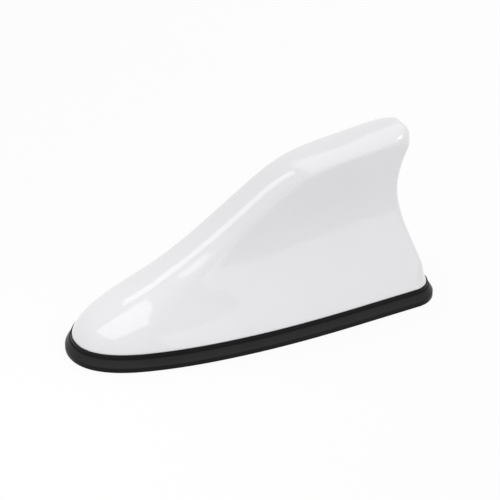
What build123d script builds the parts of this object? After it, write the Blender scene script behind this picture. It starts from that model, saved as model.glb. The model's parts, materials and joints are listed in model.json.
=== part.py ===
from build123d import *
import math
import os

os.makedirs("parts", exist_ok=True)

# All sizes are in mm. The roof is the plane z = 0, the nose points to -X and the fin rises to +Z.

# Rubber rim
rim_length = 168.0
rim_width = 74.4
rim_overhang = 3.1          # from the cover's outline to the rim's outermost edge
rim_foot = 2.2              # upright edge at the bottom
shoulder_height = 5.5       # top of the lower tier
shoulder_overhang = 1.2
lip_overhang = 0.8          # upper tier, where it leaves the shoulder
lip_thickness = 0.4
lip_gap = 0.15              # between the lip and the cover
rim_floor = 2.6             # rubber under the cover's edge and the base plate
rim_floor_width = 6.0       # how far that floor reaches inwards from the cover's outline

# Fin cover, outside
seat_height = 7.4           # where the painted skin leaves the rim
# ridge of the fin, seen from the side: behind the nose, above the roof
nose_points = [(3.0, 12.9), (10.7, 18.4), (23.2, 23.9), (39.2, 30.1)]
ramp_points = [(53.2, 37.0), (81.2, 54.3), (95.2, 63.2)]
crown_points = [(107.2, 68.3), (121.2, 70.7), (139.2, 72.4)]
crown_slope = 0.12
blade_half = 11.6           # half the thickness of the upright blade
waist_height = 48.0         # where the blade turns into the spreading sides
waist_softness = 4.0
nose_reach = 118.0          # length of the egg-shaped nose in plan
nose_power = 2.05
strip_half = 11.3           # half-width of the strip along ramp and crown
strip_depth = 6.5          # how deep its rounded edge goes
nose_strip_half = 4.0
nose_strip_depth = 20.0
strip_power = 2.5
tail_waist_height = 42.0    # height where the tail is hollowed most
tail_waist_depth = 7.2
tail_radius = 50.0          # of the hollow, which ends in a straight line down to the seat
seat_corner = 9.0           # rounding between sides and tail, at the seat and higher up
tail_edge_radius = 3.4
tip_radius = 3.2            # rounding between crown and tail, seen from the side
tip_half = 3.0              # half-width left at the very tip
taper_share = 0.89          # share of the ridge where the strip begins to narrow towards it
tip_share = 0.94            # share of the ridge that lies before the tip's rounding

# Fin cover, inside
wall = 2.2
skirt_step = 0.15           # the part that stands in the rim is this much slimmer
hollow_end = 0.9            # share of the ridge where the cavity ends and the tip is solid
boss_radius = 3.6
boss_depth = 9.0
rib_thickness = 1.4
guide_places = (44.0, 56.0)         # ribs that steady the upright board, along X
guide_bottom = 34.0
guide_top = 58.0
guide_gap = 0.3

# Base plate
plate_thickness = 2.4
plate_gap = 0.3             # to the cover's wall and to the rubber floor
pad_thickness = 1.2
pad_margin = 1.5            # from the plate's lower step to the edge of the pad
curb_drop = 0.3             # top of its curb below the painted skin's start
curb_thickness = 1.6
post_radius = 2.8

# Screws
screw_radius = 1.3
screw_head_radius = 2.6
screw_head_height = 1.7
screw_gap = 0.12
screw_recess = 0.2          # head below the plate's underside
front_screw = (-47.0, 13.5)
rear_screw = (66.0, 21.5)
board_screw_radius = 1.0
board_screw_head_radius = 2.0
board_screw_head_height = 1.3
board_screw_length = 4.0

# Cable gland
cable_radius = 1.4
cable_gap = 0.2
gland_x = -30.0
gland_neck_radius = 5.2
gland_flange_radius = 7.4
gland_flange_height = 1.4
gland_foot_height = 0.9
gland_gap = 0.15

# Boards and what they carry
board_length = 76.0
board_width = 30.0
board_thickness = 1.6
board_front = -14.0
board_lift = 3.6            # from the base plate to the board
board_hole_inset = 4.0
ground_thickness = 0.5
ground_margin = 4.0
spring_width = 5.0
spring_thickness = 0.4
spring_x = 12.0
jack_length = 9.0
jack_width = 7.0
jack_height = 6.5
jack_barrel_radius = 2.4
jack_barrel_length = 5.0
can_length = 19.0
can_width = 17.0
can_height = 5.5
can_sheet = 0.4
can_front = -2.0
chip_side = 5.0
chip_height = 1.1
coil_x = 24.0
former_radius = 3.6
former_height = 21.0
former_flange_radius = 6.2
former_flange_height = 1.6
wire_radius = 0.6
wire_gap = 0.1
coil_pitch = 4.6
coil_turns = 3
inductor_side = 5.0
inductor_height = 3.2
inductor_x = 36.0
inductor_y = 8.5
capacitor_size = (2.0, 1.25, 1.1)
capacitor_x = 46.0
capacitor_y = 8.5
capacitor_pitch = 4.0
capacitor_count = 3
radiator_thickness = 1.2
radiator_foot = (34.0, 58.0)        # front and rear of its foot, along X
radiator_clearance = 3.0            # from its edge to the inside of the cover
radiator_brow = (14.0, 50.0)        # foremost point, along X and above the roof
tab_length = 6.0
tab_gap = 0.1
load_half = 4.4
load_sheet = 0.5
load_drop = 5.0
load_reach = 32.0           # of the folded sheet, along X
load_inset = 14.9           # from the tail's foot forward to its rear end
damper_length = 22.0
damper_thickness = 1.3


# Places that follow from those sizes
nose_x = rim_overhang - rim_length / 2
tail_x = rim_length / 2 - rim_overhang
seat_half = rim_width / 2 - rim_overhang
load_rear = tail_x - load_inset
load_front = load_rear - load_reach
plate_bottom = pad_thickness
plate_top = rim_floor + plate_thickness
board_bottom = plate_top + board_lift
board_top = board_bottom + board_thickness


def crown_line(distance):
    """Height of the straight crown, at a distance behind the nose."""
    start, height = crown_points[-1]
    return height + crown_slope * (distance - start)


def ease(start, end, share):
    """Pass smoothly from one value to another while share goes from 0 to 1."""
    share = min(max(share, 0.0), 1.0)
    return start + (end - start) * share * share * (3 - 2 * share)


def swell(share, power):
    """Rise of a rounded end: 0 at the end itself, 1 where the rounding is over."""
    share = min(max(share, 0.0), 1.0)
    return (1 - (1 - share) ** power) ** (1 / power)


def flare(height):
    """How far the sides have begun to spread: none in the blade, even below the waist."""
    below = waist_height - height
    return (below + math.hypot(below, 2 * waist_softness)) / 2


def side_width(height):
    """Half-width of the fin's sides: an upright blade above, spreading down to the seat."""
    return blade_half + (seat_half - blade_half) * flare(height) / flare(seat_height)


# The tip's rounding touches the straight crown above and the hollowed tail behind
slant = math.hypot(1, crown_slope)
waist = Vector(tail_x - tail_waist_depth, 0, tail_waist_height)
tail_centre = waist + Vector(tail_radius, 0, 0)
reach_up = crown_line(tail_centre.X - nose_x) - tip_radius * slant - tail_centre.Z
span = tail_radius + tip_radius
back_off = (crown_slope * reach_up + math.sqrt((span * slant) ** 2 - reach_up ** 2)) / slant ** 2
tip_centre = tail_centre + Vector(-back_off, 0, reach_up - crown_slope * back_off)
tip_above = Vector(-crown_slope, 0, 1) * (tip_radius / slant)
tip_behind = (tail_centre - tip_centre).normalized() * tip_radius
tip_turn = math.radians(tip_above.get_angle(tip_behind)) / 2

profile = [(0, seat_height)] + nose_points + ramp_points + crown_points
spine_points = [Vector(nose_x + x, 0, z) for x, z in profile]
crown_end = tip_centre + tip_above
spine_points += [spine_points[-1] + (crown_end - spine_points[-1]) * share for share in (0.5, 1)]
spine = Edge.make_spline(spine_points)

# The tail leaves the seat in a straight line that touches the hollow's circle
tail_foot = Vector(tail_x, 0, seat_height)
foot_reach = tail_centre - tail_foot
tail_straight = math.sqrt(foot_reach.length ** 2 - tail_radius ** 2)
tail_heading = math.atan2(foot_reach.Z, foot_reach.X) + math.asin(tail_radius / foot_reach.length)
lower_angle = tail_heading - math.pi / 2
upper_angle = math.asin((tip_centre + tip_behind - waist).Z / tail_radius)


def around_tip(angle):
    """Point of the tip's rounding, at an angle back from the crown."""
    side = Vector(tip_above.Z, 0, -tip_above.X)
    return tip_centre + tip_above * math.cos(angle) + side * math.sin(angle)


def ridge_at(share):
    """Point on the fin's ridge, from the seat at the nose to the tip."""
    if share <= tip_share:
        return spine @ (share / tip_share)
    return around_tip(tip_turn * (share - tip_share) / (1 - tip_share))


def tail_at(share):
    """Point on the middle of the tail, from the seat up to the tip."""
    if share > tip_share:
        return around_tip(tip_turn * (2 - (share - tip_share) / (1 - tip_share)))
    travel = (tail_straight + (lower_angle + upper_angle) * tail_radius) * share / tip_share
    if travel < tail_straight:
        return tail_foot + Vector(math.cos(tail_heading), 0, math.sin(tail_heading)) * travel
    angle = (travel - tail_straight) / tail_radius - lower_angle
    return waist + Vector(1 - math.cos(angle), 0, math.sin(angle)) * tail_radius


nearly_tip = 0.994
skin_ribs = 20
skin_steps = 16
hollow_ribs = 8
hollow_steps = 6
outline_steps = 9


def rib_shares(count, end):
    """Places of the ribs along the ridge, closer together near the rim and near the end."""
    shares = []
    for k in range(count):
        even = k / (count - 1)
        shares.append(end * (ease(0, 0.8, even) + 0.2 * (1 - (1 - even) ** 2)))
    return shares


def grown(points, along, distance, stretch=1.0):
    """Points of an outline moved outwards in its plane, more along its length by a factor."""
    curve = Edge.make_spline(points)
    moved = []
    for point in points:
        heading = curve.tangent_at(point)
        out = along * -heading.Y + Vector(0, heading.dot(along), 0)
        moved.append(point + out * distance * math.hypot(stretch * heading.Y, heading.dot(along)))
    return moved


def seat_width(run):
    """Half-width of the cover at its seat, at a distance behind the nose."""
    half = nose_strip_half * swell(run / nose_strip_depth, strip_power)
    return half + (seat_half - nose_strip_half) * swell(run / nose_reach, nose_power)


def rib(share, inset, steps):
    """Outline of the fin in a plane that tips from level at the rim to steep at the tip.

    The first three and the last three points lie on the rounded corners at the tail.
    """
    front, back = ridge_at(share), tail_at(share)
    along = (back - front).normalized()
    length = (back - front).length
    strip = ease(nose_strip_half, strip_half, share / 0.5)
    narrow = 1 - (1 - tip_half / strip_half) * max(share - taper_share, 0) / (1 - taper_share)
    depth = min(ease(nose_strip_depth, strip_depth, share / 0.5), 0.6 * length)
    corner = min(ease(seat_corner, tail_edge_radius, share / 0.15), 0.35 * length)
    reach = nose_reach * (1 - share / 2)

    def half_width(run):
        spread = max(side_width((front + along * run).Z) - strip, 0)
        return narrow * (strip * swell(run / depth, strip_power) + spread * swell(run / reach, nose_power))

    places = []
    for step in range(steps + 1):
        ahead, behind = (step / steps) ** 2.6, (1 - step / steps) ** 1.8
        run = (length - corner) * ahead / (ahead + behind)
        places.append((run, half_width(run)))
    edge = places[-1][1]
    for angle in (math.pi / 4, math.pi / 2):
        places.append((length - corner + corner * math.sin(angle), edge - corner * (1 - math.cos(angle))))
    left = [front + along * run + Vector(0, half, 0) for run, half in places]
    right = [front + along * run - Vector(0, half, 0) for run, half in places]
    points = right[:0:-1] + left
    # the ridge runs aslant to the rib, so the wall is cut longer there
    if inset:
        aslant = abs(along.cross(spine % min(share / tip_share, 1)).Y)
        points = grown(points, along, -inset, ease(1.0, 1 / aslant, share / 0.1))
    return points


def skin_wire(share):
    """One rib of the outer skin: a smooth curve round the nose, two corners and the tail."""
    points = rib(share, 0, skin_steps)
    along = [k / (2 * skin_steps) for k in range(2 * skin_steps + 1)]
    skin = Edge.make_spline(points[2:-2], parameters=along)
    left = Edge.make_three_point_arc(*points[-3:])
    right = Edge.make_three_point_arc(*points[:3])
    return Wire([skin, left, Edge.make_line(points[-1], points[0]), right])


def hollow_body(inset):
    """The fin's form smaller by an inset all round, in flat bands, for its hidden inside."""
    wires = []
    for share in rib_shares(hollow_ribs, hollow_end):
        wires.append(Wire.make_polygon(rib(share, inset + skirt_step, hollow_steps)))
    return Solid.make_loft(wires, True) + slab(-inset, 0, seat_height)


def outline(distance, height):
    """The cover's outline at its seat, grown by a distance, as a face at a height."""
    nose = []
    for step in range(-outline_steps, outline_steps + 1):
        run = nose_reach * abs(step / outline_steps) ** 2.6
        nose.append(Vector(nose_x + run, math.copysign(seat_width(run), step), height))
    nose = grown(nose, Vector(1, 0, 0), distance)
    side = seat_half + distance
    rear = tail_x + distance
    corner = max(seat_corner + distance, 1.0)
    turn = corner * math.sqrt(0.5)
    edges = [Edge.make_spline(nose)]
    for hand, end in ((1, nose[-1]), (-1, nose[0])):
        before = Vector(rear - corner, hand * side, height)
        middle = Vector(rear - corner + turn, hand * (side - corner + turn), height)
        after = Vector(rear, hand * (side - corner), height)
        edges.append(Edge.make_line(end, before))
        edges.append(Edge.make_three_point_arc(before, middle, after))
    edges.append(Edge.make_line(edges[2] @ 1, edges[4] @ 1))
    return Face(Wire(edges))


def slab(distance, bottom, top):
    """A plate with the cover's outline, grown by a distance."""
    return extrude(outline(distance, bottom), top - bottom, dir=(0, 0, 1))


def tier(low, bottom, high, top):
    """A band of the rim, whose outline changes evenly from one distance to another."""
    wires = [outline(low, bottom).outer_wire(), outline(high, top).outer_wire()]
    return Solid.make_loft(wires, True)


def rod(radius, bottom, top, x=0.0, y=0.0):
    """An upright cylinder between two heights."""
    return Pos(x, y, bottom) * extrude(Circle(radius), top - bottom)


def block(front, rear, half, bottom, top, y=0.0):
    """A box given by its ends along X, its half-width and its heights."""
    centre = Pos((front + rear) / 2, y, (bottom + top) / 2)
    return centre * Box(rear - front, 2 * half, top - bottom)


def save(shape, name):
    """Write one piece, whose bodies stay separate, as its own file."""
    shape = Compound(shape.solids())
    shape.label = name
    export_step(shape, f"parts/{name}.step")


cover_screw_places = [(x, side * y) for x, y in (front_screw, rear_screw) for side in (-1, 1)]
board_rear = board_front + board_length
board_post_places = [
    (x, side * (board_width / 2 - board_hole_inset))
    for side in (-1, 1)
    for x in (board_front + board_hole_inset, board_rear - board_hole_inset)
]
board_hole_places = [board_post_places[0], board_post_places[3]]

# The moulded fin: outer skin less cavity, with screw bosses and guides for the upright board
outer = Solid.make_loft([skin_wire(share) for share in rib_shares(skin_ribs, nearly_tip)])
core = hollow_body(wall / 2)
fin_cover = outer + slab(-skirt_step, rim_floor, seat_height) - hollow_body(wall)
for x, y in cover_screw_places:
    fin_cover += rod(boss_radius, plate_top, tail_waist_height, x, y) & core
for x in guide_places:
    for side in (-1, 1):
        inner = radiator_thickness / 2 + guide_gap
        guide = block(x, x + rib_thickness, 10, guide_bottom, guide_top, side * (inner + 10))
        fin_cover += guide & core
for x, y in cover_screw_places:
    fin_cover -= rod(screw_radius + screw_gap, plate_top, plate_top + boss_depth, x, y)
save(fin_cover, "fin_cover")

# The rubber rim: tapering lower tier, thin upper lip, floor under the cover's edge
base_gasket = slab(rim_overhang, 0, rim_foot)
base_gasket += tier(rim_overhang, rim_foot, shoulder_overhang, shoulder_height)
base_gasket += tier(lip_overhang, shoulder_height, lip_gap + lip_thickness, seat_height)
base_gasket -= slab(lip_gap, rim_floor, seat_height)
base_gasket -= slab(-rim_floor_width, 0, rim_floor)
save(base_gasket, "base_gasket")

# The base plate: flange on the rubber floor, step through it, curb, posts and screw holes
plate_edge = -wall - plate_gap
step_edge = -rim_floor_width - plate_gap
base_plate = slab(plate_edge, rim_floor, plate_top) + slab(step_edge, plate_bottom, rim_floor)
curb_top = seat_height - curb_drop
base_plate += slab(plate_edge, plate_top, curb_top) - slab(plate_edge - curb_thickness, plate_top, curb_top)
for x, y in board_post_places:
    base_plate += rod(post_radius, plate_top, board_bottom, x, y)
for x, y in board_hole_places:
    base_plate -= rod(board_screw_radius + screw_gap, board_bottom - board_screw_length, board_bottom, x, y)
head_seat = plate_bottom + screw_recess + screw_head_height
for x, y in cover_screw_places:
    base_plate -= rod(screw_radius + screw_gap, plate_bottom, plate_top, x, y)
    base_plate -= rod(screw_head_radius + screw_gap, plate_bottom, head_seat, x, y)
base_plate -= rod(gland_neck_radius + gland_gap, plate_bottom, plate_top, gland_x)
save(base_plate, "base_plate")

adhesive_pad = slab(step_edge - pad_margin, 0, pad_thickness)
adhesive_pad -= rod(gland_flange_radius + 1, 0, pad_thickness, gland_x)
save(adhesive_pad, "adhesive_pad")

screws = []
for x, y in cover_screw_places:
    screw = rod(screw_head_radius, head_seat - screw_head_height, head_seat, x, y)
    screws.append(screw + rod(screw_radius, head_seat, plate_top + boss_depth - 1, x, y))
save(Compound(screws), "cover_screws")

# The cable gland: a rubber ring whose groove holds the plate's edge
gland_top = plate_top + gland_flange_height
gland_bottom = plate_bottom - gland_foot_height
cable_grommet = rod(gland_neck_radius, gland_bottom, gland_top, gland_x)
cable_grommet += rod(gland_flange_radius, plate_top, gland_top, gland_x)
cable_grommet += rod(gland_flange_radius, gland_bottom, plate_bottom, gland_x)
cable_grommet -= rod(cable_radius + cable_gap, gland_bottom, gland_top, gland_x)
save(cable_grommet, "cable_grommet")

# Ground sheet on the plate and the leaf spring that joins it to the board
ground_plate = block(board_front + ground_margin, board_rear - ground_margin,
                     board_width / 2 - ground_margin, plate_top, plate_top + ground_thickness)
for x, y in board_post_places:
    ground_plate -= rod(post_radius + plate_gap, plate_top, plate_top + ground_thickness, x, y)
save(ground_plate, "ground_plate")

rise = board_lift - ground_thickness
leaf = Polyline(
    (0, 0), (7, 0), (10, rise - spring_thickness), (16, rise - spring_thickness),
    (16, rise), (10 - spring_thickness / 2, rise), (7 - spring_thickness / 2, spring_thickness),
    (0, spring_thickness), close=True,
)
leaf_corner = Vector(spring_x, spring_width / 2, plate_top + ground_thickness)
leaf_plane = Plane(leaf_corner, x_dir=(1, 0, 0), z_dir=(0, -1, 0))
save(extrude(leaf_plane * make_face(leaf), spring_width), "ground_spring")

# The level board, its screws and what is soldered to it
amplifier_board = block(board_front, board_rear, board_width / 2, board_bottom, board_top)
amplifier_board = fillet(amplifier_board.edges().filter_by(Axis.Z), board_hole_inset / 2)
for x, y in board_hole_places:
    amplifier_board -= rod(board_screw_radius + screw_gap, board_bottom, board_top, x, y)
tab_places = [radiator_foot[0] + tab_length / 2, radiator_foot[1] - 1.5 * tab_length]
for x in tab_places:
    amplifier_board -= block(x - tab_gap, x + tab_length + tab_gap, radiator_thickness / 2 + tab_gap,
                             board_bottom, board_top)
save(amplifier_board, "amplifier_board")

screws = []
for x, y in board_hole_places:
    screw = rod(board_screw_head_radius, board_top, board_top + board_screw_head_height, x, y)
    tip = board_bottom - board_screw_length + 0.5
    screws.append(screw + rod(board_screw_radius, tip, board_top, x, y))
save(Compound(screws), "board_screws")

jack_rear = board_front + jack_length
coax_jack = block(board_front, jack_rear, jack_width / 2, board_top, board_top + jack_height)
coax_jack = fillet(coax_jack.edges().filter_by(Axis.X).group_by(Axis.Z)[-1], 1.0)
barrel = Plane((board_front, 0, board_top + jack_height / 2), z_dir=(-1, 0, 0))
coax_jack += extrude(barrel * Circle(jack_barrel_radius), jack_barrel_length)
coax_jack -= extrude(barrel * Circle(jack_barrel_radius / 2), jack_barrel_length)
save(coax_jack, "coax_jack")

can_rear = can_front + can_length
shield_can = block(can_front, can_rear, can_width / 2, board_top, board_top + can_height)
shield_can = fillet(shield_can.edges().filter_by(Axis.Z), 2 * can_sheet)
shield_can -= block(can_front + can_sheet, can_rear - can_sheet, can_width / 2 - can_sheet,
                    board_top, board_top + can_height - can_sheet)
save(shield_can, "shield_can")

can_middle = (can_front + can_rear) / 2
save(block(can_middle - chip_side / 2, can_middle + chip_side / 2, chip_side / 2,
           board_top, board_top + chip_height), "amplifier_chip")

inductors = []
for side in (-1, 1):
    body = block(inductor_x - inductor_side / 2, inductor_x + inductor_side / 2, inductor_side / 2,
                 board_top, board_top + inductor_height, side * inductor_y)
    inductors.append(chamfer(body.edges().filter_by(Axis.Z), inductor_side / 6))
save(Compound(inductors), "filter_inductors")

chip_length, chip_width, chip_rise = capacitor_size
capacitors = []
for k in range(capacitor_count):
    for side in (-1, 1):
        x = capacitor_x + k * capacitor_pitch
        capacitors.append(block(x, x + chip_length, chip_width / 2, board_top, board_top + chip_rise,
                                side * capacitor_y))
save(Compound(capacitors), "filter_capacitors")

# The loading coil on its bobbin
former_top = board_top + former_height
coil_former = rod(former_radius, board_top, former_top, coil_x)
coil_former += rod(former_flange_radius, board_top, board_top + former_flange_height, coil_x)
coil_former += rod(former_flange_radius, former_top - former_flange_height, former_top, coil_x)
save(coil_former, "coil_former")

coil_radius = former_radius + wire_gap + wire_radius
coil_rise = coil_turns * coil_pitch
coil_start = board_top + former_flange_height + wire_radius + wire_gap
helix = Pos(coil_x, 0, coil_start) * Helix(coil_pitch, coil_rise, coil_radius)
wire_end = Plane(helix @ 0, x_dir=(1, 0, 0), z_dir=helix % 0)
wire_section = wire_end * Rectangle(2 * wire_radius, 2 * wire_radius)
save(sweep(wire_section, path=helix, is_frenet=True), "loading_coil")


def crown_height(x, below):
    """Height of a line parallel to the crown, some way below it."""
    return crown_line(x - nose_x) - below * math.hypot(1, crown_slope)


# The upright radiator board, the folded sheet on its top edge and the foam on that
radiator_drop = wall + radiator_clearance
foot_front, foot_rear = radiator_foot
brow_x, brow_z = radiator_brow
radiator = Polyline(
    (foot_front, board_top), (foot_front, brow_z - 10), (brow_x, brow_z), (brow_x + 8, brow_z + 9),
    (load_front, crown_height(load_front, radiator_drop)),
    (load_rear, crown_height(load_rear, radiator_drop)),
    (foot_rear, tail_waist_height - 12), (foot_rear, board_top), close=True,
)
upright = Plane((0, radiator_thickness / 2, 0), x_dir=(1, 0, 0), z_dir=(0, -1, 0))
aerial_board = extrude(upright * make_face(radiator), radiator_thickness)
for x in tab_places:
    aerial_board += block(x, x + tab_length, radiator_thickness / 2, board_bottom - 0.8, board_top)
save(aerial_board, "aerial_board")

slope_angle = -math.degrees(math.atan(crown_slope))
load_length = (load_rear - load_front) * math.hypot(1, crown_slope)
on_radiator = Pos(load_front, 0, crown_height(load_front, radiator_drop)) * Rot(0, slope_angle, 0)
sheet = block(0, load_length, load_half, -load_drop, load_sheet)
sheet = fillet(sheet.edges().filter_by(Axis.X).group_by(Axis.Z)[-1], 2 * load_sheet)
sheet -= block(0, load_length, load_half - load_sheet, -load_drop, 0)
save(on_radiator * sheet, "top_load_plate")

damper_front = (load_length - damper_length) / 2
damper = block(damper_front, damper_front + damper_length, load_half - 2 * load_sheet,
               load_sheet, load_sheet + damper_thickness)
save(on_radiator * damper, "foam_damper")
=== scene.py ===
# %% [markdown]
# # A shark fin aerial, dressed for a product photograph
# The part is a roof aerial for a car: a moulded fin painted gloss white, standing in a soft black rim.
# The solids come from the CAD frame, in metres, with the roof as z = 0, the nose at -X and the tail at +X.
# This script gives every piece its finish, welds and softens what the eye rests on, and sets up the studio.

# %% Load the frame
import json
import math

import bmesh
import bpy
from mathutils import Matrix, Vector


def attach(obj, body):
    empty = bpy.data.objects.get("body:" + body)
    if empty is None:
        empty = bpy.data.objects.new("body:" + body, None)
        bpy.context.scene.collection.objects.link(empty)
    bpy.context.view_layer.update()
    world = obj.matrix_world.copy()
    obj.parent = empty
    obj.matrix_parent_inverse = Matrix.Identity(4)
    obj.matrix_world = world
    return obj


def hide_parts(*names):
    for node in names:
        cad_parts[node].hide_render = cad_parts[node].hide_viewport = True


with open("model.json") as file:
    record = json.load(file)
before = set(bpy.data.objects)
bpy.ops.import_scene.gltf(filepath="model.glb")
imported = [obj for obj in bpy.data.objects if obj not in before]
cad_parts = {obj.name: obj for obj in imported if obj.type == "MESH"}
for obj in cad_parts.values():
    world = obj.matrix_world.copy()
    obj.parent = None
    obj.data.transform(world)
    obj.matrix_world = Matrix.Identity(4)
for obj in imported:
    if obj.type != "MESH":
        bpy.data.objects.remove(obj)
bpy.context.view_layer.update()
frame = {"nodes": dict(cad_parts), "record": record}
nodes = frame["nodes"]
scene = bpy.context.scene
print("pieces from the frame:", len(nodes))

# %% [markdown]
# ## Small helpers for materials
# Every finish here is a Principled shader with a few texture nodes in front of it.
# One helper starts such a material and the others add a node and its links, so each finish stays short.
# All patterns use Object coordinates, which are metres here: a scale of 1000 is one cycle a millimetre.

# %% Start a finish
def new_finish(name):
    """A fresh node material with its Principled shader and its Object coordinates."""
    finish = bpy.data.materials.new(name)
    finish.use_nodes = True
    tree = finish.node_tree
    shader = tree.nodes["Principled BSDF"]
    place = tree.nodes.new("ShaderNodeTexCoord")
    return finish, tree, shader, place.outputs["Object"]


def add_noise(tree, place, scale, detail=3.0):
    """A noise texture, finer as the scale goes up."""
    noise = tree.nodes.new("ShaderNodeTexNoise")
    noise.inputs["Scale"].default_value = scale
    noise.inputs["Detail"].default_value = detail
    tree.links.new(place, noise.inputs["Vector"])
    return noise.outputs["Fac"]


def stretch(tree, place, factors):
    """Coordinates scaled by a factor along each axis, for streaks that run one way."""
    mapping = tree.nodes.new("ShaderNodeMapping")
    mapping.inputs["Scale"].default_value = factors
    tree.links.new(place, mapping.inputs["Vector"])
    return mapping.outputs["Vector"]


print("helpers for coordinates and noise ready")

# %% Colours, values and relief
def blend_colors(tree, factor, low, high):
    """A colour that passes from low to high across the middle of the factor's range."""
    ramp = tree.nodes.new("ShaderNodeValToRGB")
    ramp.color_ramp.elements[0].position = 0.3
    ramp.color_ramp.elements[1].position = 0.7
    ramp.color_ramp.elements[0].color = (*low, 1.0)
    ramp.color_ramp.elements[1].color = (*high, 1.0)
    tree.links.new(factor, ramp.inputs["Fac"])
    return ramp.outputs["Color"]


def spread_values(tree, factor, low, high):
    """A number that passes from low to high across the middle of the factor's range."""
    spread = tree.nodes.new("ShaderNodeMapRange")
    spread.inputs["From Min"].default_value = 0.3
    spread.inputs["From Max"].default_value = 0.7
    spread.inputs["To Min"].default_value = low
    spread.inputs["To Max"].default_value = high
    tree.links.new(factor, spread.inputs["Value"])
    return spread.outputs["Result"]


def add_bump(tree, shader, height, distance):
    """Fine relief, with its real height in metres."""
    bump = tree.nodes.new("ShaderNodeBump")
    bump.inputs["Distance"].default_value = distance
    tree.links.new(height, bump.inputs["Height"])
    tree.links.new(bump.outputs["Normal"], shader.inputs["Normal"])


print("helpers for colour, roughness and relief ready")

# %% [markdown]
# ## Gloss white paint
# The cover is moulded in plastic, then sprayed white and lacquered, as a car body is.
# Sprayed paint is never quite even: it has a faint orange peel, a few millimetres from crest to crest,
# and its white drifts by a hair. A relief of two thousandths of a millimetre is enough to bend a reflection.
# The lacquer is a coat with crisp reflections over a slightly softer base.

# %% Paint of the cover
def gloss_paint():
    """White paint with a faint orange peel under a clear lacquer."""
    finish, tree, shader, place = new_finish("gloss_white_paint")
    drift = add_noise(tree, place, 30.0, 2.0)
    white = blend_colors(tree, drift, (0.795, 0.783, 0.803), (0.815, 0.803, 0.822))
    tree.links.new(white, shader.inputs["Base Color"])
    peel = add_noise(tree, place, 380.0, 1.0)
    tree.links.new(spread_values(tree, peel, 0.06, 0.09), shader.inputs["Roughness"])
    add_bump(tree, shader, peel, 2e-6)
    shader.inputs["IOR"].default_value = 1.5
    shader.inputs["Coat Weight"].default_value = 1.0
    shader.inputs["Coat Roughness"].default_value = 0.03
    return finish


cover_finish = gloss_paint()
print("finish:", cover_finish.name)

# %% [markdown]
# ## Moulded rubber
# The rim and the cable gland are soft rubber, nearly black. Rubber mirrors far less than lacquer,
# so its specular level is low. Fine grain from the mould breaks its shine up, and slow blotches stand for
# the bloom that rubber gets on a shelf. The sloping band of the rim is painted lighter than the foot and the
# lip.
# That grey is partly painted light, the brighter shade a slope that faces up gets, and partly taken to be
# a blasted, satin face between two smooth ones, so the grey follows the height.

# %% Rubber shade and grain
shade_span = 0.01  # metres of height that the shades cover


def satin_rubber(name, shades):
    """Black rubber; shades lists heights in metres with the grey there, from the bottom up."""
    finish, tree, shader, place = new_finish(name)
    split = tree.nodes.new("ShaderNodeSeparateXYZ")
    tree.links.new(place, split.inputs["Vector"])
    height = tree.nodes.new("ShaderNodeMapRange")
    height.inputs["From Max"].default_value = shade_span
    tree.links.new(split.outputs["Z"], height.inputs["Value"])
    tiers = tree.nodes.new("ShaderNodeValToRGB")
    stops = tiers.color_ramp.elements
    while len(stops) < len(shades):
        stops.new(1.0)
    for stop, (z, grey) in zip(stops, shades):
        stop.position = z / shade_span
        stop.color = (grey, grey, grey * 1.04, 1.0)
    tree.links.new(height.outputs["Result"], tiers.inputs["Fac"])
    bloom = tree.nodes.new("ShaderNodeMix")
    bloom.data_type = "RGBA"
    bloom.blend_type = "MULTIPLY"
    bloom.inputs["Factor"].default_value = 1.0
    tree.links.new(tiers.outputs["Color"], bloom.inputs["A"])
    blotches = add_noise(tree, place, 60.0, 4.0)
    tree.links.new(blend_colors(tree, blotches, (0.8, 0.8, 0.8), (1.0, 1.0, 1.0)), bloom.inputs["B"])
    tree.links.new(bloom.outputs["Result"], shader.inputs["Base Color"])
    grain = add_noise(tree, place, 1800.0, 3.0)
    tree.links.new(spread_values(tree, grain, 0.3, 0.42), shader.inputs["Roughness"])
    add_bump(tree, shader, grain, 2e-5)
    shader.inputs["Specular IOR Level"].default_value = 0.1
    return finish


# The lighter sloping band is partly painted light on a slope that faces up, and partly a satin face.
rim_greys_with_painted_light = [
    (0.0, 0.009), (0.0021, 0.009),      # upright foot
    (0.0025, 0.026), (0.0052, 0.022),   # sloping band
    (0.0055, 0.008), (shade_span, 0.008),  # lip
]
rim_finish = satin_rubber("rim_rubber", rim_greys_with_painted_light)
gland_finish = satin_rubber("gland_rubber", [(0.0, 0.014), (shade_span, 0.016)])
print("finishes:", rim_finish.name, gland_finish.name)

# %% [markdown]
# ## Finishes below and inside
# Seen from below, the part shows the grey foam of the adhesive pad and a thin line of the black base plate.
# Inside stand boards, tinned sheet, brass and ceramic. One helper serves the dull ones: a fine grain moves
# colour, roughness and relief together. Rolled and plated metals get streaks along X instead,
# because a sheet keeps the direction in which it was rolled.

# %% Grained and rolled finishes
def grained(name, low, high, roughness, scale, relief):
    """A dull finish whose colour, roughness and relief follow one fine grain."""
    finish, tree, shader, place = new_finish(name)
    grain = add_noise(tree, place, scale)
    tree.links.new(blend_colors(tree, grain, low, high), shader.inputs["Base Color"])
    tree.links.new(spread_values(tree, grain, *roughness), shader.inputs["Roughness"])
    if relief:
        add_bump(tree, shader, grain, relief)
    return finish


def rolled_metal(name, low, high, roughness):
    """A metal with fine streaks along X."""
    finish, tree, shader, place = new_finish(name)
    streaks = add_noise(tree, stretch(tree, place, (80.0, 2200.0, 2200.0)), 1.0)
    tree.links.new(blend_colors(tree, streaks, low, high), shader.inputs["Base Color"])
    tree.links.new(spread_values(tree, streaks, *roughness), shader.inputs["Roughness"])
    shader.inputs["Metallic"].default_value = 1.0
    return finish


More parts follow.
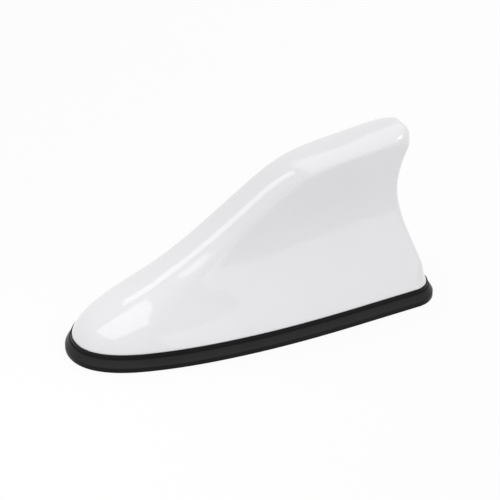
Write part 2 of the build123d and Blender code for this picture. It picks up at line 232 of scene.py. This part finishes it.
def foam(name, low, high, cell):
    """Closed-cell foam: round cells of a given size in metres, dark between them."""
    finish, tree, shader, place = new_finish(name)
    cells = tree.nodes.new("ShaderNodeTexVoronoi")
    cells.inputs["Scale"].default_value = 1.0 / cell
    tree.links.new(place, cells.inputs["Vector"])
    tree.links.new(blend_colors(tree, cells.outputs["Distance"], high, low), shader.inputs["Base Color"])
    shader.inputs["Roughness"].default_value = 0.85
    add_bump(tree, shader, cells.outputs["Distance"], -0.3 * cell)
    return finish


print("helpers for grained, rolled and foamed finishes ready")

# %% One finish for each slot of the record
grained_finishes = {
    # slot: dark colour, light colour, roughness, scale of the grain, its relief in metres
    "plate_plastic": ((0.014, 0.014, 0.015), (0.026, 0.026, 0.028), (0.5, 0.65), 2500.0, 3e-5),
    "board_green": ((0.02, 0.13, 0.05), (0.035, 0.18, 0.075), (0.28, 0.42), 700.0, 1e-5),
    "chip_black": ((0.012, 0.012, 0.013), (0.02, 0.02, 0.021), (0.45, 0.6), 3000.0, 1e-5),
    "ferrite_grey": ((0.045, 0.045, 0.05), (0.075, 0.075, 0.08), (0.5, 0.7), 2500.0, 2e-5),
    "capacitor_tan": ((0.4, 0.29, 0.17), (0.5, 0.37, 0.23), (0.4, 0.55), 2000.0, 0.0),
    "former_white": ((0.66, 0.66, 0.64), (0.75, 0.75, 0.73), (0.4, 0.5), 500.0, 0.0),
}
finishes = {
    "cover_gloss": cover_finish,
    "rim_rubber": rim_finish,
    "gland_rubber": gland_finish,
    "foam_tape": foam("foam_tape", (0.38, 0.39, 0.41), (0.56, 0.57, 0.59), 0.0004),
    "foam_grey": foam("foam_grey", (0.04, 0.04, 0.045), (0.11, 0.11, 0.115), 0.0006),
    "screw_steel": rolled_metal("screw_steel", (0.5, 0.5, 0.51), (0.62, 0.62, 0.63), (0.25, 0.4)),
    "tinned_sheet": rolled_metal("tinned_sheet", (0.56, 0.56, 0.57), (0.68, 0.68, 0.67), (0.22, 0.38)),
    "spring_brass": rolled_metal("spring_brass", (0.66, 0.47, 0.19), (0.76, 0.56, 0.26), (0.2, 0.32)),
    "jack_gold": rolled_metal("jack_gold", (0.74, 0.54, 0.22), (0.82, 0.62, 0.28), (0.15, 0.28)),
    "coil_copper": rolled_metal("coil_copper", (0.55, 0.23, 0.11), (0.68, 0.32, 0.16), (0.2, 0.32)),
}
for slot, values in grained_finishes.items():
    finishes[slot] = grained(slot, *values)
slot_of = {part["node"]: part["material_slot"] for part in frame["record"]["subparts"]}
for name, piece in nodes.items():
    piece.data.materials.clear()
    piece.data.materials.append(finishes[slot_of[name]])
print("finishes set on", len(nodes), "pieces")

# %% [markdown]
# ## Welding what the eye rests on
# A CAD mesh keeps each face apart, so its shading breaks where two faces meet, even on one smooth skin.
# A copy is welded first. Edges that turn only a little are then shaded as one surface; the others stay crisp.
# The copy replaces the CAD piece in the picture, at the same place and size.

# %% Welded copies
def welded_copy(node, name, smooth_angle):
    """A copy of a CAD piece as one welded surface, smooth where it turns by less than the angle."""
    mesh = bmesh.new()
    mesh.from_mesh(nodes[node].data)
    bmesh.ops.remove_doubles(mesh, verts=mesh.verts, dist=1e-6)
    for face in mesh.faces:
        face.smooth = True
    for edge in mesh.edges:
        edge.smooth = len(edge.link_faces) == 2 and edge.calc_face_angle() < smooth_angle
    data = bpy.data.meshes.new(name)
    mesh.to_mesh(data)
    mesh.free()
    piece = bpy.data.objects.new(name, data)
    scene.collection.objects.link(piece)
    data.materials.append(finishes[slot_of[node]])
    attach(piece, "root")
    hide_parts(node)
    return piece


fin_skin = welded_copy("fin_cover", "fin_skin", math.radians(30))
print("cover:", len(fin_skin.data.polygons), "faces")

# %% [markdown]
# ## The rubber rim
# The rim has two tiers: a foot with a sloping band above it, and a thin lip that hugs the cover.
# A mould leaves no knife edges on rubber, and a rounded edge catches a line of light, so the sharp edges
# get a narrow bevel. A modifier does it, with a limit by angle, because the tiers run all round the part.

# %% Rim with soft edges
rubber_rim = welded_copy("base_gasket", "rubber_rim", math.radians(20))
soften = rubber_rim.modifiers.new("soft_edges", "BEVEL")
soften.width = 0.0003
soften.segments = 3
soften.limit_method = "ANGLE"
soften.angle_limit = math.radians(20)
print("rim:", len(rubber_rim.data.polygons), "faces before its bevel of", soften.width * 1000, "mm")

# %% [markdown]
# ## A white floor that keeps its shadow
# The part is shown on plain white. A floor that only reflects light would come out grey somewhere,
# so most of what the camera sees of it is a glow of strength 1, and the rest is a dull white surface,
# which still carries the part's soft shadow. Mirror-like rays see the same white; the light that bounces
# off the floor onto the part comes from the dull surface alone, so the glow adds no light to it.

# %% Rays that look at the background
def background_rays(tree):
    """1 for rays from the camera, from gloss and through glass, and 0 for the light that bounces about."""
    rays = tree.nodes.new("ShaderNodeLightPath")
    factor = rays.outputs["Is Camera Ray"]
    for kind in ("Is Glossy Ray", "Is Transmission Ray"):
        either = tree.nodes.new("ShaderNodeMath")
        either.operation = "MAXIMUM"
        tree.links.new(factor, either.inputs[0])
        tree.links.new(rays.outputs[kind], either.inputs[1])
        factor = either.outputs["Value"]
    return factor


def white_floor(glow_share):
    """White floor: a share of glow for the rays that look at it, over a dull surface."""
    finish, tree, shader, _ = new_finish("studio_floor")
    shader.inputs["Base Color"].default_value = (0.9, 0.9, 0.9, 1.0)
    shader.inputs["Roughness"].default_value = 0.9
    glow = tree.nodes.new("ShaderNodeEmission")
    share = tree.nodes.new("ShaderNodeMath")
    share.operation = "MULTIPLY"
    share.inputs[1].default_value = glow_share
    tree.links.new(background_rays(tree), share.inputs[0])
    mix = tree.nodes.new("ShaderNodeMixShader")
    tree.links.new(share.outputs["Value"], mix.inputs["Fac"])
    tree.links.new(shader.outputs["BSDF"], mix.inputs[1])
    tree.links.new(glow.outputs["Emission"], mix.inputs[2])
    tree.links.new(mix.outputs["Shader"], tree.nodes["Material Output"].inputs["Surface"])
    return finish


print("floor finish ready")

# %% Floor
floor_mesh = bmesh.new()
bmesh.ops.create_grid(floor_mesh, x_segments=1, y_segments=1, size=4.0)
floor_data = bpy.data.meshes.new("studio_floor")
floor_mesh.to_mesh(floor_data)
floor_mesh.free()
floor = bpy.data.objects.new("studio_floor", floor_data)
scene.collection.objects.link(floor)
floor_data.materials.append(white_floor(0.9))
print("floor of", round(floor.dimensions.x, 1), "m")

# %% [markdown]
# ## The room
# White walls all round give the soft, almost even light of a product table.
# The world lights the part at a moderate level, and shows itself as white to the camera and in reflections.

# %% Room
world = bpy.data.worlds.new("studio_room")
scene.world = world
world.use_nodes = True
room = world.node_tree
level = room.nodes["Background"]
level.inputs["Color"].default_value = (1.0, 1.0, 1.0, 1.0)
level.inputs["Strength"].default_value = 0.675
seen = room.nodes.new("ShaderNodeBackground")
seen.inputs["Color"].default_value = (1.0, 1.0, 1.0, 1.0)
mix = room.nodes.new("ShaderNodeMixShader")
room.links.new(background_rays(room), mix.inputs["Fac"])
room.links.new(level.outputs["Background"], mix.inputs[1])
room.links.new(seen.outputs["Background"], mix.inputs[2])
room.links.new(mix.outputs["Shader"], room.nodes["World Output"].inputs["Surface"])
print("room level", level.inputs["Strength"].default_value)

# %% [markdown]
# ## Five softboxes
# Gloss paint shows its lamps, so each lamp is placed for what mirrors it, with its brightness given
# as seen in the mirror, where 1 is the white of the room. A small softbox hangs close over the nose
# and fills the bright patch there. A narrow one stands beyond the ramp, so that its image runs along it.
# A long low panel beside the camera brightens the lower flank, and a wide one above the tail the crown.
# A tiny one glints at the tip. All are hidden from the camera, because the nose softbox hangs in its line
# of sight, which only a rendered studio allows.

# %% Lamps
def softbox(name, spot, target, along, width, depth, brightness):
    """An area lamp aimed from a spot at a target, its width along a direction; 1 mirrors as white."""
    lamp = bpy.data.lights.new(name, "AREA")
    lamp.shape = "RECTANGLE"
    lamp.size = width
    lamp.size_y = depth
    lamp.energy = brightness * math.pi * width * depth
    back = (Vector(spot) - Vector(target)).normalized()
    across = Vector(along) - back * Vector(along).dot(back)
    across.normalize()
    holder = bpy.data.objects.new(name, lamp)
    holder.location = spot
    holder.rotation_euler = Matrix((across, back.cross(across), back)).transposed().to_euler()
    holder.visible_camera = False
    scene.collection.objects.link(holder)
    return lamp.energy


along_part = (1.0, 0.0, 0.0)
across_part = (0.0, 1.0, 0.0)
ramp_line = (0.84, 0.0, 0.54)
side_line = (0.91, 0.41, 0.0)
watts = [
    softbox("nose_softbox", (-0.143, -0.0625, 0.152), (-0.143, -0.0625, 0.0), along_part, 0.126, 0.175, 1.2),
    softbox("ramp_softbox", (-0.0425, 0.115, 0.214), (0.012, 0.0, 0.058), ramp_line, 0.124, 0.045, 1.2),
    softbox("side_panel", (0.588, -1.275, 0.58), (0.02, 0.0, 0.03), side_line, 1.7, 0.45, 0.45),
    softbox("crown_softbox", (0.3, 0.0, 0.55), (0.3, 0.0, 0.0), along_part, 0.5, 1.1, 0.55),
    softbox("tip_softbox", (0.275, -0.06, 0.372), (0.08, 0.0, 0.072), across_part, 0.08, 0.08, 4.0),
]
print("lamps in watts:", [round(w, 2) for w in watts])

# %% [markdown]
# ## The camera
# The photograph looks down at the fin from its side, a little from ahead of it.
# A long lens from over a metre away keeps the lines almost parallel, as in the picture.
# A small shift puts the part where it stands in the frame.

# %% Camera
view_turn = math.radians(27.85)
view_rise = math.radians(33.2)
view_distance = 1.2145
aim = Vector((0.0, 0.0, 0.0253))
towards = Vector((
    -math.sin(view_turn) * math.cos(view_rise),
    -math.cos(view_turn) * math.cos(view_rise),
    math.sin(view_rise),
))
lens = bpy.data.cameras.new("product_camera")
lens.lens = 197.0
lens.sensor_width = 36.0
lens.shift_x = 0.0212
lens.shift_y = 0.0206
lens.clip_end = 20.0
camera = bpy.data.objects.new("product_camera", lens)
camera.location = aim + towards * view_distance
camera.rotation_euler = (-towards).to_track_quat("-Z", "Y").to_euler()
scene.collection.objects.link(camera)
scene.camera = camera
scene.view_settings.view_transform = "Standard"
print("camera at", [round(v, 3) for v in camera.location])
